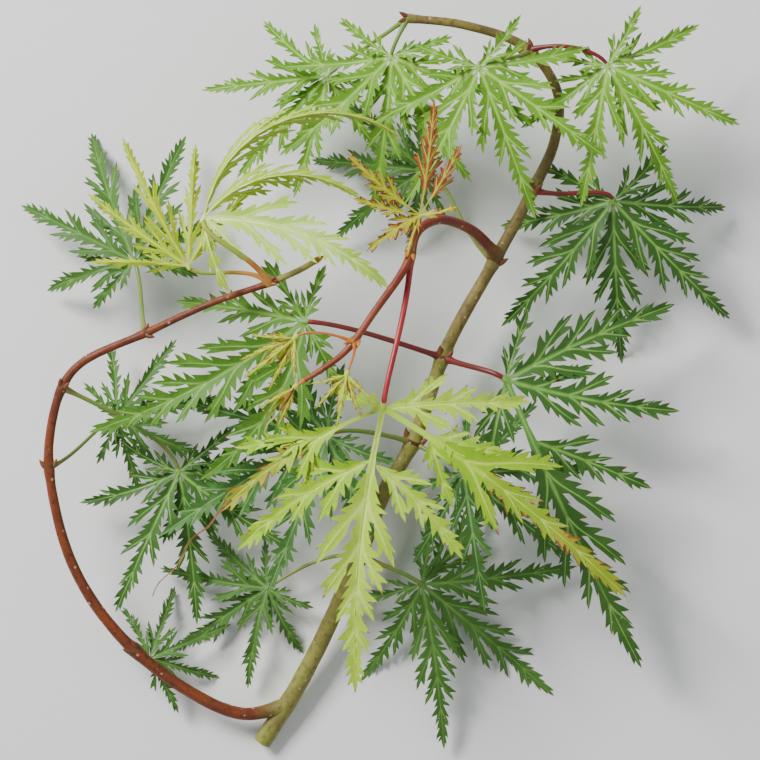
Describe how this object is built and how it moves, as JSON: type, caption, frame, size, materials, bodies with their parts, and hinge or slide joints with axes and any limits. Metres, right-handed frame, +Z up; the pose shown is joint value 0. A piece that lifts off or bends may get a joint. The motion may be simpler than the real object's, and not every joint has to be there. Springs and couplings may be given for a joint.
{
  "type": "cut laceleaf maple branch",
  "caption": "Cut branch of a lace-leaved Japanese maple lying on its lowest leaves, with an arching stem, a red-barked side bough, a raised young shoot and finely cut leaves.",
  "frame": {"origin": "on the ground under the middle of the branch's reach, where it lies", "axes": "+Y up the branch from its cut end to its far leaves, +X to the right seen from above, +Z up from the ground"},
  "size_m": [0.1638, 0.1697, 0.0585],
  "materials": {
    "pale_green": "soft leaf",
    "cream_green": "soft leaf",
    "gold": "soft leaf",
    "yellow_green": "soft leaf",
    "spring_green": "soft leaf",
    "mid_green": "soft leaf",
    "deep_green": "soft leaf",
    "blue_green": "soft leaf",
    "olive_bark": "smooth young bark",
    "red_bark": "smooth young bark",
    "russet_bark": "smooth young bark"
  },
  "bodies": {
    "root": {"main_stem": "olive_bark", "left_bough_lower": "red_bark", "left_bough_upper": "red_bark", "front_shoot": "russet_bark", "front_leaf": "pale_green", "gold_leaf": "gold", "bud_leaf_left": "yellow_green", "bud_leaf_right": "yellow_green", "shoot_tip_leaf": "gold", "pale_leaf": "cream_green", "yellow_leaf": "yellow_green", "top_leaf": "spring_green", "top_left_leaf": "spring_green", "top_middle_leaf": "spring_green", "top_right_leaf": "spring_green", "upper_right_leaf": "mid_green", "upper_middle_leaf": "deep_green", "right_leaf": "mid_green", "left_leaf": "mid_green", "under_left_leaf": "blue_green", "under_right_leaf": "blue_green", "lower_right_leaf": "deep_green", "lower_left_leaf": "mid_green", "bottom_left_leaf": "deep_green", "far_left_leaf": "deep_green", "upper_left_leaf": "deep_green", "corner_left_leaf": "deep_green"}
  },
  "joints": []
}
